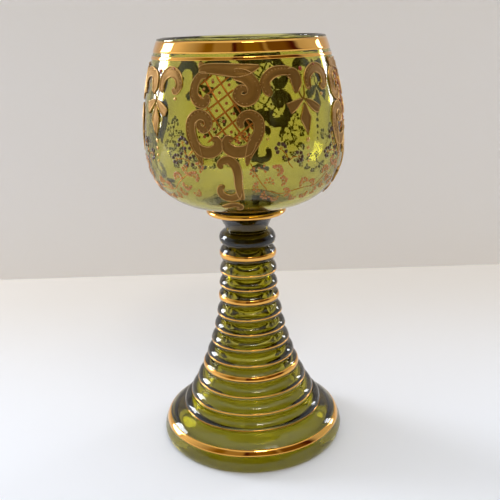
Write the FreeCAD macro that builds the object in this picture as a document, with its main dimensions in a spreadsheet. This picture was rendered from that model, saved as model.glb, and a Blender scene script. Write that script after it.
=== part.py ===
# Roemer: a wine glass with a wide bowl on a hollow foot that is wound with glass threads
#
# Every piece is a body of revolution about the vertical Z axis. The origin is the middle of the
# face that the foot stands on. Heights are measured up from there, radii out from the axis.
import FreeCAD, Part
import math
import os
import Sketcher

THREADS = 14
BROADLY_GILT = (2, 5, 10, 14)
FINELY_GILT = (3, 4, 6, 7, 8, 9, 11, 12, 13)

# Driving sizes in millimetres
SIZES = {
    # The foot: a hollow cone that flares out of a straight stem
    "stem_height": 105.8,
    "neck_height": 7.9,
    "neck_radius": 9.2,
    "neck_bend": 20.0,
    "stem_radius": 10.4,
    "straight_length": 15.3,
    "foot_radius": 41.6,
    "foot_ring_width": 10.4,
    "foot_ring_top": 13.6,
    "foot_edge_height": 5.6,
    "foot_edge_inset": 0.25,
    "foot_sole_inset": 1.4,
    "foot_sole_width": 2.2,
    "foot_wall": 1.6,
    "stem_wall": 2.0,
    "bore_end_gap": 9.0,
    # The threads: beads of glass wound on the cone
    "thread_depth": 2.2,
    "foot_ring_crest_inset": 1.8,
    "foot_ring_crest_height": 9.0,
    # The collar: a flat disc between the stem and the bowl
    "collar_radius": 17.6,
    "collar_thickness": 2.2,
    "collar_lip": 4.1,
    # The bowl
    "bowl_height": 72.0,
    "bowl_radius": 42.5,
    "rim_radius": 34.7,
    "cheek_radius": 24.0,
    "bottom_drop": 2.2,
    "bottom_rise": 0.4,
    "well_drop": 0.6,
    "bowl_wall": 1.8,
    # The gilding: thin bands fired on the glass
    "gilding_thickness": 0.12,
    "rim_band_height": 4.6,
    "rim_line_gap": 1.2,
    "rim_line_height": 1.3,
    "broad_gilding_height": 2.4,
    "fine_gilding_height": 0.7,
    "fine_gilding_drop": 0.4,
}

# How far each thread was laid above an even spacing, from the top thread down, by hand and eye
THREAD_SHIFTS = (0.0, -0.8, -1.8, -1.8, -1.3, -2.1, -2.1, -2.2, -2.4, -1.4, -1.7, -1.8, -1.2)


class Size:
    """A length in millimetres that keeps the formula it comes from."""

    def __init__(self, number, formula):
        self.number = number
        self.formula = formula

    def __add__(self, other):
        other = as_size(other)
        return Size(self.number + other.number, f"({self.formula} + {other.formula})")

    def __sub__(self, other):
        other = as_size(other)
        return Size(self.number - other.number, f"({self.formula} - {other.formula})")

    def __mul__(self, other):
        other = as_size(other)
        return Size(self.number * other.number, f"({self.formula} * {other.formula})")

    def __truediv__(self, other):
        other = as_size(other)
        return Size(self.number / other.number, f"({self.formula} / {other.formula})")


def as_size(value):
    return value if isinstance(value, Size) else Size(value, str(value))


def root(value):
    return Size(math.sqrt(value.number), f"sqrt({value.formula})")


def square(value):
    return value * value


def above_zero(value):
    return Size(max(value.number, 0.0), f"max({value.formula}; 0)")


doc = FreeCAD.newDocument("roemer")

# The driving sizes lie in a sheet, one named cell each
sheet = doc.addObject("Spreadsheet::Sheet", "Sizes")
for shift_number, shift in enumerate(THREAD_SHIFTS, start=1):
    SIZES[f"thread_shift_{shift_number:02d}"] = shift
for row, (word, length) in enumerate(SIZES.items(), start=1):
    sheet.set(f"A{row}", word)
    sheet.set(f"B{row}", str(length))
    sheet.setAlias(f"B{row}", word)

# Places that are worked out from the driving sizes, each a named value with its formula
layout = doc.addObject("App::FeaturePython", "Layout")


def size(word):
    return Size(SIZES[word], f"Sizes.{word}")


def place(word, value):
    layout.addProperty("App::PropertyFloat", word)
    layout.setExpression(word, value.formula)
    return Size(value.number, f"Layout.{word}")


# Heights of the main joints
collar_bottom = place("collar_bottom", size("stem_height"))
collar_top = place("collar_top", collar_bottom + size("collar_thickness"))
rim_top = place("rim_top", collar_top + size("bowl_height"))
neck_bottom = place("neck_bottom", collar_bottom - size("neck_height"))
flare_start = place("flare_start", neck_bottom - size("straight_length"))
joint_radius = place("joint_radius", size("collar_radius") - size("collar_lip"))

# The flare: an arc that leaves the straight stem upright and ends where the foot ring begins
flare_run = place("flare_run", size("foot_radius") - size("foot_ring_width") - size("stem_radius"))
flare_fall = place("flare_fall", flare_start - size("foot_ring_top"))
flare_radius = place(
    "flare_radius", (square(flare_run) + square(flare_fall)) / (flare_run * 2)
)


def radius_on_flare(height):
    """The cone's radius at a height."""
    below = above_zero(flare_start - height)
    return size("stem_radius") + flare_radius - root(square(flare_radius) - square(below))


def arc_through(word, first, middle, last):
    """Centre and radius of the circle through three points, as named places."""
    (r1, h1), (r2, h2), (r3, h3) = first, middle, last
    s1, s2, s3 = (square(r) + square(h) for r, h in (first, middle, last))
    twice_area = (r1 * (h2 - h3) + r2 * (h3 - h1) + r3 * (h1 - h2)) * 2
    centre_r = (s1 * (h2 - h3) + s2 * (h3 - h1) + s3 * (h1 - h2)) / twice_area
    centre_h = (s1 * (r3 - r2) + s2 * (r1 - r3) + s3 * (r2 - r1)) / twice_area
    centre_r = place(f"{word}_centre_radius", centre_r)
    centre_h = place(f"{word}_centre_height", centre_h)
    bend = place(f"{word}_bend", root(square(r2 - centre_r) + square(h2 - centre_h)))
    return centre_r, centre_h, bend


def radius_on_arc(arc, height, offset=0):
    centre_r, centre_h, bend = arc
    return centre_r + root(square(bend + offset) - square(height - centre_h))


# Thread crests, and the grooves between them where the threads meet on the cone
wound_pitch = place("wound_pitch", (neck_bottom - size("foot_ring_top")) / (THREADS - 1))
crests = []
for number in range(1, THREADS):
    height = neck_bottom - wound_pitch * (number - 0.5) + size(f"thread_shift_{number:02d}")
    height = place(f"crest_height_{number:02d}", height)
    radius = place(f"crest_radius_{number:02d}", radius_on_flare(height) + size("thread_depth"))
    crests.append((radius, height))
foot_crest_radius = place(
    "foot_crest_radius", size("foot_radius") - size("foot_ring_crest_inset")
)
crests.append((foot_crest_radius, size("foot_ring_crest_height")))

groove_heights = [neck_bottom]
groove_heights += [(crests[n][1] + crests[n + 1][1]) / 2 for n in range(THREADS - 2)]
groove_heights += [size("foot_ring_top")]
grooves = []
for number, height in enumerate(groove_heights):
    height = place(f"groove_height_{number:02d}", height)
    radius = radius_on_flare(height) if number else size("neck_radius")
    grooves.append((place(f"groove_radius_{number:02d}", radius), height))
foot_shoulder = (
    place("foot_shoulder_radius", size("foot_radius") - size("foot_edge_inset")),
    size("foot_edge_height"),
)
grooves.append(foot_shoulder)

thread_arcs = []
for number in range(1, THREADS + 1):
    ends = grooves[number - 1], grooves[number]
    thread_arcs.append(arc_through(f"thread_{number:02d}", ends[0], crests[number - 1], ends[1]))

# The bowl's section: a side arc and a cheek arc that meet upright at the widest circle, and a
# bottom arc centred on the axis that the cheek runs into without a corner
widest_height = place(
    "widest_height",
    collar_top + size("bottom_rise") + size("bottom_drop") + size("cheek_radius"),
)
lip_height = place("lip_height", rim_top - size("bowl_wall") / 2)
side_run = place("side_run", size("bowl_radius") - size("rim_radius"))
side_rise = place("side_rise", lip_height - widest_height)
side_bend = place("side_bend", (square(side_run) + square(side_rise)) / (side_run * 2))
side_arc = (
    place("side_centre_radius", size("bowl_radius") - side_bend),
    widest_height,
    side_bend,
)
cheek_centre = place("cheek_centre_radius", size("bowl_radius") - size("cheek_radius"))


def bowl_bottom(word, cheek, drop):
    """The bottom arc under a cheek arc: its bend, its lowest height and where the two meet."""
    depth = cheek + drop
    bend = (square(cheek_centre) + square(depth) - square(cheek)) / (drop * 2)
    bend = place(f"{word}_bend", bend)
    lowest = place(f"{word}_lowest", widest_height - depth)
    centre_h = place(f"{word}_centre_height", lowest + bend)
    share = place(f"{word}_share", bend / (bend - cheek))
    meet_r = place(f"{word}_meet_radius", cheek_centre * share)
    meet_h = place(f"{word}_meet_height", centre_h - (centre_h - widest_height) * share)
    return bend, lowest, centre_h, (meet_r, meet_h)


class Outline:
    """A closed outline in the upright plane through the axis, drawn point by point."""

    def __init__(self, label, radius, height):
        self.body = doc.addObject("PartDesign::Body", label)
        self.body.Label = label
        upright = [f for f in self.body.Origin.OriginFeatures if f.Role == "XZ_Plane"][0]
        self.sketch = self.body.newObject("Sketcher::SketchObject", f"{label}_section")
        self.sketch.AttachmentSupport = (upright, [""])
        self.sketch.MapMode = "FlatFace"
        self.corner = (as_size(radius), as_size(height))
        self.ends = []

    def bind(self, kind, *where, value):
        index = self.sketch.addConstraint(Sketcher.Constraint(kind, *where, value.number))
        self.sketch.setExpression(f"Constraints[{index}]", value.formula)

    def add_edge(self, edge, start, end):
        """Joins an edge to the last one. start and end say which of its ends come first."""
        index = self.sketch.addGeometry(edge, False)
        if self.ends:
            joined = self.ends[-1][0], self.ends[-1][2]
            self.sketch.addConstraint(Sketcher.Constraint("Coincident", *joined, index, start))
        self.ends.append((index, start, end))
        return index

    def fix_corner(self, index, end, radius, height):
        """Holds one end of an edge at its radius and height."""
        if radius.number == 0:
            self.sketch.addConstraint(Sketcher.Constraint("PointOnObject", index, end, -2))
        else:
            self.bind("DistanceX", -1, 1, index, end, value=radius)
        if height.number == 0:
            self.sketch.addConstraint(Sketcher.Constraint("PointOnObject", index, end, -1))
        else:
            self.bind("DistanceY", -1, 1, index, end, value=height)

    def line_to(self, radius, height):
        radius, height = as_size(radius), as_size(height)
        start = FreeCAD.Vector(self.corner[0].number, self.corner[1].number, 0)
        finish = FreeCAD.Vector(radius.number, height.number, 0)
        index = self.add_edge(Part.LineSegment(start, finish), 1, 2)
        self.fix_corner(index, 2, radius, height)
        self.corner = (radius, height)

    def arc_to(self, radius, height, bend, turn):
        """A shorter arc of a given bend to the next corner, turning left or right on its way."""
        radius, height = as_size(radius), as_size(height)
        x1, y1 = self.corner[0].number, self.corner[1].number
        x2, y2 = radius.number, height.number
        chord = math.hypot(x2 - x1, y2 - y1)
        side = 1 if turn == "left" else -1
        away = side * math.sqrt(max(bend.number**2 - chord**2 / 4, 0)) / chord
        centre_x = (x1 + x2) / 2 - away * (y2 - y1)
        centre_y = (y1 + y2) / 2 + away * (x2 - x1)
        begin = math.atan2(y1 - centre_y, x1 - centre_x)
        finish = math.atan2(y2 - centre_y, x2 - centre_x)
        angles, start, end = ((begin, finish), 1, 2) if side == 1 else ((finish, begin), 2, 1)
        circle = Part.Circle(
            FreeCAD.Vector(centre_x, centre_y, 0), FreeCAD.Vector(0, 0, 1), bend.number
        )
        index = self.add_edge(Part.ArcOfCircle(circle, *angles), start, end)
        self.fix_corner(index, end, radius, height)
        self.bind("Radius", index, value=bend)
        self.corner = (radius, height)

    def spin(self):
        """Joins the last edge to the first and turns the outline once round the axis."""
        (first, start, _), (last, _, end) = self.ends[0], self.ends[-1]
        self.sketch.addConstraint(Sketcher.Constraint("Coincident", last, end, first, start))
        turned = self.body.newObject("PartDesign::Revolution", f"{self.body.Label}_turned")
        turned.Profile = self.sketch
        turned.ReferenceAxis = (self.sketch, ["V_Axis"])
        turned.Angle = 360
        self.body.Tip = turned
        self.body.Placement = FreeCAD.Placement()
        return self.body


def make_foot_cone():
    """The blown cone under the threads: neck, straight stem, flare and rolled edge, hollow below."""
    bore = place("bore_radius", size("stem_radius") - size("stem_wall"))
    bore_top = place("bore_top", neck_bottom - size("bore_end_gap"))
    bore_shoulder = place("bore_shoulder", bore_top - bore)
    waist = place("hollow_waist", grooves[-2][0] - size("foot_wall"))
    widening = place("hollow_widening", waist - bore)
    rise = place("hollow_rise", bore_shoulder - size("foot_ring_top"))
    hollow_bend = place("hollow_bend", (square(widening) + square(rise)) / (widening * 2))
    sole_outer = place("sole_outer_radius", size("foot_radius") - size("foot_sole_inset"))
    sole_inner = place("sole_inner_radius", sole_outer - size("foot_sole_width"))
    edge_middle = place("edge_middle", size("foot_edge_height") / 2)
    edge = arc_through(
        "foot_edge",
        foot_shoulder,
        (size("foot_radius"), edge_middle),
        (sole_outer, Size(0.0, "0")),
    )
    outline = Outline("foot_cone", 0, bore_top)
    outline.line_to(0, collar_bottom)
    outline.line_to(joint_radius, collar_bottom)
    outline.arc_to(*grooves[0], bend=size("neck_bend"), turn="left")
    for radius, height in grooves[1:]:
        outline.line_to(radius, height)
    outline.arc_to(sole_outer, as_size(0), bend=edge[2], turn="right")
    outline.line_to(sole_inner, as_size(0))
    outline.line_to(sole_inner, size("foot_edge_height"))
    outline.line_to(waist, size("foot_ring_top"))
    outline.arc_to(bore, bore_shoulder, bend=hollow_bend, turn="right")
    outline.arc_to(as_size(0), bore_top, bend=bore, turn="left")
    return outline.spin()


def make_thread(number):
    """One thread: a bead of glass that fills its stretch of the cone, groove to groove."""
    top, bottom = grooves[number - 1], grooves[number]
    outline = Outline(f"thread_{number:02d}", *top)
    outline.arc_to(*bottom, bend=thread_arcs[number - 1][2], turn="right")
    outline.line_to(*top)
    return outline.spin()


def make_collar():
    """The flat disc that the bowl and the stem are both melted to, with a half-round edge."""
    half = size("collar_thickness") / 2
    flat_radius = place("collar_flat_radius", size("collar_radius") - half)
    outline = Outline("collar_disc", 0, collar_bottom)
    outline.line_to(0, collar_top)
    outline.line_to(flat_radius, collar_top)
    outline.arc_to(size("collar_radius"), collar_top - half, bend=half, turn="right")
    outline.arc_to(flat_radius, collar_bottom, bend=half, turn="right")
    outline.line_to(0, collar_bottom)
    return outline.spin()


def make_bowl():
    """The blown bowl with a thicker bottom, a fire-polished lip and a boss on the collar."""
    wall = size("bowl_wall")
    bend, lowest, centre_h, meet = bowl_bottom(
        "bottom", size("cheek_radius"), size("bottom_drop")
    )
    boss_top = place("boss_top", centre_h - root(square(bend) - square(joint_radius)))
    inner_cheek = place("inner_cheek_radius", size("cheek_radius") - wall)
    well_bend, well_lowest, _, well_meet = bowl_bottom(
        "well", inner_cheek, size("well_drop")
    )
    inner_rim = place("inner_rim_radius", size("rim_radius") - wall)
    inner_widest = place("inner_widest_radius", size("bowl_radius") - wall)
    lip_bend = wall / 2
    outline = Outline("bowl", 0, collar_top)
    outline.line_to(0, well_lowest)
    outline.arc_to(*well_meet, bend=well_bend, turn="left")
    outline.arc_to(inner_widest, widest_height, bend=inner_cheek, turn="left")
    outline.arc_to(inner_rim, lip_height, bend=side_bend, turn="left")
    outline.arc_to(inner_rim + lip_bend, rim_top, bend=lip_bend, turn="right")
    outline.arc_to(size("rim_radius"), lip_height, bend=lip_bend, turn="right")
    outline.arc_to(size("bowl_radius"), widest_height, bend=side_bend, turn="right")
    outline.arc_to(*meet, bend=size("cheek_radius"), turn="right")
    outline.arc_to(joint_radius, boss_top, bend=bend, turn="right")
    outline.line_to(joint_radius, collar_top)
    outline.line_to(0, collar_top)
    return outline.spin()


def make_gilding(label, arc, top, bottom):
    """A thin band of gold on a rounded surface, between two heights."""
    film = size("gilding_thickness")
    _, _, bend = arc
    outline = Outline(label, radius_on_arc(arc, top), top)
    outline.line_to(radius_on_arc(arc, top, film), top)
    outline.arc_to(radius_on_arc(arc, bottom, film), bottom, bend=bend + film, turn="right")
    outline.line_to(radius_on_arc(arc, bottom), bottom)
    outline.arc_to(radius_on_arc(arc, top), top, bend=bend, turn="left")
    return outline.spin()


def make_bowl_gilding(label, top, height):
    return make_gilding(label, side_arc, top, place(f"{label}_bottom", top - height))


def make_thread_gilding(number, height, drop):
    """A band of gold on the crest of a thread, or on its shoulder just under the crest."""
    crest_height = crests[number - 1][1]
    top = place(f"gilding_top_{number:02d}", crest_height + height / 2 - drop)
    bottom = place(f"gilding_bottom_{number:02d}", crest_height - height / 2 - drop)
    return make_gilding(f"gilding_{number:02d}", thread_arcs[number - 1], top, bottom)


def make_collar_gilding():
    """The gold that covers the collar's whole half-round edge."""
    half = size("collar_thickness") / 2
    film = size("gilding_thickness")
    flat_radius = size("collar_radius") - half
    outline = Outline("collar_gilding", flat_radius, collar_top)
    outline.line_to(flat_radius, collar_top + film)
    outline.arc_to(size("collar_radius") + film, collar_top - half, half + film, "right")
    outline.arc_to(flat_radius, collar_bottom - film, half + film, "right")
    outline.line_to(flat_radius, collar_bottom)
    outline.arc_to(size("collar_radius"), collar_top - half, half, "left")
    outline.arc_to(flat_radius, collar_top, half, "left")
    return outline.spin()


pieces = [make_foot_cone(), make_collar(), make_bowl()]
pieces += [make_thread(number) for number in range(1, THREADS + 1)]

rim_line_top = lip_height - size("rim_band_height") - size("rim_line_gap")
pieces.append(make_bowl_gilding("rim_band", lip_height, size("rim_band_height")))
pieces.append(
    make_bowl_gilding("rim_line", place("rim_line_top", rim_line_top), size("rim_line_height"))
)
pieces.append(make_collar_gilding())
for number in BROADLY_GILT:
    pieces.append(make_thread_gilding(number, size("broad_gilding_height"), as_size(0.0)))
for number in FINELY_GILT:
    pieces.append(
        make_thread_gilding(number, size("fine_gilding_height"), size("fine_gilding_drop"))
    )

doc.recompute()

for item in doc.Objects:
    faults = [state for state in item.State if state in ("Invalid", "Error")]
    if faults:
        raise RuntimeError(f"{item.Label} did not build: {faults}")
for piece in pieces:
    if piece.Shape.isNull() or not piece.Shape.isValid() or len(piece.Shape.Solids) != 1:
        raise RuntimeError(f"{piece.Label} is not one sound solid")

os.makedirs("parts", exist_ok=True)
for piece in pieces:
    piece.Shape.exportStep(f"parts/{piece.Label}.step")
    print(f"{piece.Label}: {piece.Shape.Volume:.1f} cubic mm")
print(f"height {rim_top.number:.1f} mm, foot {2 * SIZES['foot_radius']:.1f} mm across")
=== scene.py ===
# %% [markdown]
# # A gilt roemer in Blender
# A roemer is a wine glass with a wide bowl on a hollow foot that is wound with threads of glass.
# This one is blown in olive green glass. It has fired gold on its rim, collar and threads, and
# raised gold scrolls and small enamelled flowers painted round the bowl.
#
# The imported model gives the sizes. This script builds the looks round it: one clear body of
# glass, thin films of gold, and the painted relief.

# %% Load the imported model
import math
import random

import bmesh
import bpy
import numpy as np
from mathutils import Euler, Matrix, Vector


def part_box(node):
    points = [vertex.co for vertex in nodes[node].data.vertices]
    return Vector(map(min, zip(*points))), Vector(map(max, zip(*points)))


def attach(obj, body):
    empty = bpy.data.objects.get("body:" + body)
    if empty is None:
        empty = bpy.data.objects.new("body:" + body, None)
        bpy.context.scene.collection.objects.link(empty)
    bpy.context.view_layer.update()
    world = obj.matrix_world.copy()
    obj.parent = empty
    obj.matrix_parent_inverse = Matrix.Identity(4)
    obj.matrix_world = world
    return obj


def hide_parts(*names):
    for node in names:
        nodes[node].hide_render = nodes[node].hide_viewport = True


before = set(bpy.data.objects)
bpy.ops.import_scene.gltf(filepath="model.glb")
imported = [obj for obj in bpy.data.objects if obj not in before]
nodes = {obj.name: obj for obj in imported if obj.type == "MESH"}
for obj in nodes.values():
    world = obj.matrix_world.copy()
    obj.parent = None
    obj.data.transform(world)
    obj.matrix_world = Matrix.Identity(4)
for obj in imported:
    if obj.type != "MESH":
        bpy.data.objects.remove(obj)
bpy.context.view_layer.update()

# %% [markdown]
# ## Units and colours
# Blender works in metres and glassmakers in millimetres, so sizes are written in millimetres
# here and turned when a mesh is made. Colours are written as the hex values of a screen.
# Shaders want linear light, so one function turns them.

# %% Millimetres and hex colours
MM = 0.001
FULL_TURN = 2 * math.pi


def linear(hex_colour):
    """A screen colour such as #c08040 as linear red, green, blue and alpha."""
    shares = [int(hex_colour[i : i + 2], 16) / 255 for i in (1, 3, 5)]
    return [s / 12.92 if s <= 0.04045 else ((s + 0.055) / 1.055) ** 2.4 for s in shares] + [1.0]


# %% One helper for shader nodes
def add_node(tree, kind, inputs=None, links=None, **settings):
    """Adds one node with its settings, the values of its sockets and what is plugged into them."""
    node = tree.nodes.new(kind)
    for name, value in settings.items():
        setattr(node, name, value)
    for name, value in (inputs or {}).items():
        node.inputs[name].default_value = value
    for name, source in (links or {}).items():
        tree.links.new(source, node.inputs[name])
    return node


def new_material(name):
    material = bpy.data.materials.new(name)
    material.use_nodes = True
    material.node_tree.nodes.clear()
    return material, material.node_tree


# %% [markdown]
# ## Sizes from the frame
# Every node is a body of revolution. A thread's node runs from one groove of the foot to the
# next, so its lowest and highest points are its two grooves. The other nodes give the height of
# each joint and the widest circles.

# %% Read the grooves and the joints
THREADS = 14
BROADLY_GILT = (2, 5, 10, 14)
FINELY_GILT = (3, 4, 6, 7, 8, 9, 11, 12, 13)
thread_names = [f"thread_{number:02d}" for number in range(1, THREADS + 1)]


def section_points(node):
    """Radius and height in millimetres of every point of a node."""
    places = np.array([v.co for v in nodes[node].data.vertices]) / MM
    return np.column_stack([np.hypot(places[:, 0], places[:, 1]), places[:, 2]])


def groove_of(node, which):
    """The point where a thread meets the cone, at the thread's highest or lowest height."""
    points = section_points(node)
    height = which(points[:, 1])
    near = abs(points[:, 1] - height) < 0.01
    return float(points[near, 0].max()), float(height)


grooves = [groove_of(thread_names[0], np.max)]
grooves += [groove_of(name, np.min) for name in thread_names]
collar_radius, collar_top = section_points("collar_disc").max(axis=0)
collar_bottom = section_points("foot_cone")[:, 1].max()
bowl_radius, rim_top = section_points("bowl").max(axis=0)
foot_radius = section_points("foot_cone")[:, 0].max()
print("grooves at", [round(height, 1) for _, height in grooves], "mm")

# %% Sizes that a node's box doesn't show, in millimetres
neck_bend = 20.0
bore_radius = 8.4
foot_wall = 1.6
bore_end_gap = 9.0
sole_inset = 1.4
sole_width = 2.2
foot_edge_height = 5.6
collar_lip = 4.1
rim_radius = 34.7
cheek_bend = 24.0
bottom_drop = 2.2
bottom_rise = 0.4
well_drop = 0.6
bowl_wall = 1.8
print("bowl wall", bowl_wall, "mm, foot wall", foot_wall, "mm, bore", 2 * bore_radius, "mm across")

# %% Sizes that follow from them
widest_height = collar_top + bottom_rise + bottom_drop + cheek_bend
lip_height = rim_top - bowl_wall / 2
side_run = bowl_radius - rim_radius
side_bend = (side_run**2 + (lip_height - widest_height) ** 2) / (2 * side_run)
cheek_centre = bowl_radius - cheek_bend
edge_bend = (collar_top - collar_bottom) / 2
joint_radius = collar_radius - collar_lip


def bottom_arc(cheek, drop):
    """The arc under a cheek: its bend, its lowest height and the point where the two meet."""
    depth = cheek + drop
    bend = (cheek_centre**2 + depth**2 - cheek**2) / (2 * drop)
    centre = widest_height - depth + bend
    share = bend / (bend - cheek)
    meet = cheek_centre * share, centre - (centre - widest_height) * share
    return bend, widest_height - depth, meet


low_bend, low_height, low_meet = bottom_arc(cheek_bend, bottom_drop)
print("the bowl is widest at", round(widest_height, 1), "mm, its side bends at", round(side_bend))

# %% [markdown]
# ## The section of the glass
# Where two clear solids touch, a render bends light at a wall that isn't there. The real
# threads, collar and bowl were melted together while hot, so to the eye the glass is one piece.
# One outline goes up the inside of the bowl, down the whole outside and up the hollow of the
# foot, and is then turned once round the axis.

# %% An outline of lines and arcs
ARC_STEP = 0.09


def arc_centre(start, end, bend, turn):
    """Centre of the shorter arc between two points that turns left (1) or right (-1)."""
    (r1, h1), (r2, h2) = start, end
    chord = math.dist(start, end)
    away = turn * math.sqrt(max(bend**2 - chord**2 / 4, 0)) / chord
    return (r1 + r2) / 2 - away * (h2 - h1), (h1 + h2) / 2 + away * (r2 - r1)


def arc_points(start, end, bend, turn):
    """Points along that arc, without its start."""
    centre_r, centre_h = arc_centre(start, end, bend, turn)
    begin = math.atan2(start[1] - centre_h, start[0] - centre_r)
    swept = math.atan2(end[1] - centre_h, end[0] - centre_r) - begin
    swept = turn * ((turn * swept) % FULL_TURN)
    steps = max(4, math.ceil(abs(swept) / ARC_STEP))
    angles = [begin + swept * i / steps for i in range(1, steps + 1)]
    return [(centre_r + bend * math.cos(a), centre_h + bend * math.sin(a)) for a in angles]


def bend_through(first, middle, last):
    """Bend radius of the circle through three points."""
    a, b, c = math.dist(first, middle), math.dist(middle, last), math.dist(first, last)
    half = (a + b + c) / 2
    return a * b * c / (4 * math.sqrt(half * (half - a) * (half - b) * (half - c)))


def bend_of_thread(name, top, bottom):
    """A thread's bend, from its point that lies furthest from the line groove to groove."""
    points = section_points(name)
    away = (points[:, 0] - top[0]) * (bottom[1] - top[1])
    away -= (points[:, 1] - top[1]) * (bottom[0] - top[0])
    return bend_through(top, points[abs(away).argmax()], bottom)


thread_bends = [
    bend_of_thread(name, top, bottom)
    for name, top, bottom in zip(thread_names, grooves, grooves[1:])
]
print("threads bend at", [round(bend, 1) for bend in thread_bends], "mm")

# %% Draw the whole section
well_bend, well_height, well_meet = bottom_arc(cheek_bend - bowl_wall, well_drop)
boss_top = low_height + low_bend - math.sqrt(low_bend**2 - joint_radius**2)
bore_top = grooves[0][1] - bore_end_gap
bore_start = bore_top - bore_radius
sole_radius = foot_radius - sole_inset
sole_inner = sole_radius - sole_width
hollow_waist = grooves[-2][0] - foot_wall, grooves[-2][1]
hollow_run, hollow_rise = hollow_waist[0] - bore_radius, bore_start - hollow_waist[1]
hollow_bend = (hollow_run**2 + hollow_rise**2) / (2 * hollow_run)
foot_edge_bend = bend_through(grooves[-1], (foot_radius, foot_edge_height / 2), (sole_radius, 0))

LEFT, RIGHT = 1, -1
path = [
    (well_meet, well_bend, LEFT),
    ((bowl_radius - bowl_wall, widest_height), cheek_bend - bowl_wall, LEFT),
    ((rim_radius - bowl_wall, lip_height), side_bend, LEFT),
    ((rim_radius - bowl_wall / 2, rim_top), bowl_wall / 2, RIGHT),
    ((rim_radius, lip_height), bowl_wall / 2, RIGHT),
    ((bowl_radius, widest_height), side_bend, RIGHT),
    (low_meet, cheek_bend, RIGHT),
    ((joint_radius, boss_top), low_bend, RIGHT),
    ((joint_radius, collar_top), None, None),
    ((collar_radius - edge_bend, collar_top), None, None),
    ((collar_radius, collar_top - edge_bend), edge_bend, RIGHT),
    ((collar_radius - edge_bend, collar_bottom), edge_bend, RIGHT),
    ((joint_radius, collar_bottom), None, None),
    (grooves[0], neck_bend, LEFT),
]
path += [(groove, bend, RIGHT) for groove, bend in zip(grooves[1:], thread_bends)]
path += [
    ((sole_radius, 0.0), foot_edge_bend, RIGHT),
    ((sole_inner, 0.0), None, None),
]
glass_section = [(0.0, well_height)]
for end, bend, turn in path:
    if bend:
        glass_section += arc_points(glass_section[-1], end, bend, turn)
    else:
        glass_section.append(end)

# %% The hollow of the foot, whose wall waves in and out with the threads
# A wall of even thickness lets the light through as a blown one does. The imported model's
# hollow is smooth.
RIPPLE = 0.8
RIPPLE_FADES_UP, RIPPLE_FADES_DOWN = 4, 3
HOLLOW_STEP = 0.7
hollow = [(sole_inner, foot_edge_height), hollow_waist]
hollow += arc_points(hollow_waist, (bore_radius, bore_start), hollow_bend, RIGHT)
groove_heights = [height for _, height in reversed(grooves)]
for start, end in zip(hollow, hollow[1:]):
    steps = math.ceil(math.dist(start, end) / HOLLOW_STEP)
    for step in range(steps):
        r, h = (a + (b - a) * step / steps for a, b in zip(start, end))
        rings_below = np.interp(h, groove_heights, range(len(groove_heights)))
        fade = min(
            1.0, (bore_start - h) / RIPPLE_FADES_UP, (h - foot_edge_height) / RIPPLE_FADES_DOWN
        )
        glass_section.append((r - RIPPLE * fade * math.cos(FULL_TURN * rings_below), h))
glass_section.append((bore_radius, bore_start))
glass_section += arc_points(glass_section[-1], (0.0, bore_top), bore_radius, LEFT)
print(len(glass_section), "points in the glass's section")

# %% [markdown]
# ## What the fire and the hand do
# Sharp corners melt round in the fire, so each corner of the section is softened. A blown and
# wound piece is never quite round either: it wavers by a tenth of a millimetre or two. The same
# waver moves the glass and the gold on it, so that they stay together.

# %% Round the corners
FIRE_REACH = 0.28
SHARP_TURN = 0.35


def softened(points, reach):
    """The outline with every sharp corner replaced by a short round."""
    soft = [points[0]]
    for before, corner, after in zip(points, points[1:], points[2:]):
        a, b, c = np.array(before), np.array(corner), np.array(after)
        ahead, behind = (c - b) / math.dist(b, c), (a - b) / math.dist(a, b)
        if math.acos(max(-1.0, min(1.0, float(-ahead @ behind)))) < SHARP_TURN:
            soft.append(corner)
            continue
        start = b + behind * min(reach, math.dist(a, b) / 2)
        end = b + ahead * min(reach, math.dist(b, c) / 2)
        for share in (0.0, 0.25, 0.5, 0.75, 1.0):
            soft.append(tuple((1 - share) ** 2 * start + 2 * share * (1 - share) * b + share**2 * end))
    return soft + [points[-1]]


# %% A slow waver round the glass
WAVER = 0.13
RELIEF_HEIGHT = 0.42
RELIEF_BELT = 14.0
STILL_FOOT, STILL_RIM, STILL_AXIS = 6.0, 5.0, 8.0


def by_hand(radius, height, angle):
    """Moves points of the section by the waver of the hand. All three may be arrays.

    The foot, the rim and the axis stay still. The belt of the bowl draws in by the height of the
    paint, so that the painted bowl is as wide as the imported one.
    """
    hold = np.clip((height - foot_edge_height) / STILL_FOOT, 0, 1)
    hold = hold * np.clip((rim_top - height) / STILL_RIM, 0, 1)
    swing = np.sin(2 * angle + 0.07 * height) + 0.6 * np.sin(3 * angle - 0.19 * height + 1.0)
    belt = np.exp(-(((height - widest_height) / RELIEF_BELT) ** 2))
    inwards = (RELIEF_HEIGHT + WAVER) * belt
    radius = radius + (hold * WAVER * swing - inwards) * np.clip(radius / STILL_AXIS, 0, 1)
    height = height + hold * 0.9 * WAVER * np.sin(angle + 0.3 * height + 0.5)
    return radius, height


def in_space(radius, height, angle):
    """Points in metres from radius and height in millimetres and the angle from the front."""
    radius, height = by_hand(radius, height, angle)
    return np.stack([radius * np.sin(angle), -radius * np.cos(angle), height], axis=-1) * MM


# %% Turn an outline into a closed mesh
def make_piece(name, places, faces, materials, face_materials=None):
    """A mesh object that rides on the glass, with smooth faces and outward normals."""
    mesh = bpy.data.meshes.new(name)
    mesh.from_pydata([tuple(p) for p in places], [], faces)
    for material in materials:
        mesh.materials.append(material)
    if face_materials is not None:
        mesh.polygons.foreach_set("material_index", face_materials)
    shaped = bmesh.new()
    shaped.from_mesh(mesh)
    bmesh.ops.recalc_face_normals(shaped, faces=shaped.faces)
    for face in shaped.faces:
        face.smooth = True
    shaped.to_mesh(mesh)
    shaped.free()
    piece = bpy.data.objects.new(name, mesh)
    bpy.context.scene.collection.objects.link(piece)
    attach(piece, "root")
    return piece


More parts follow.
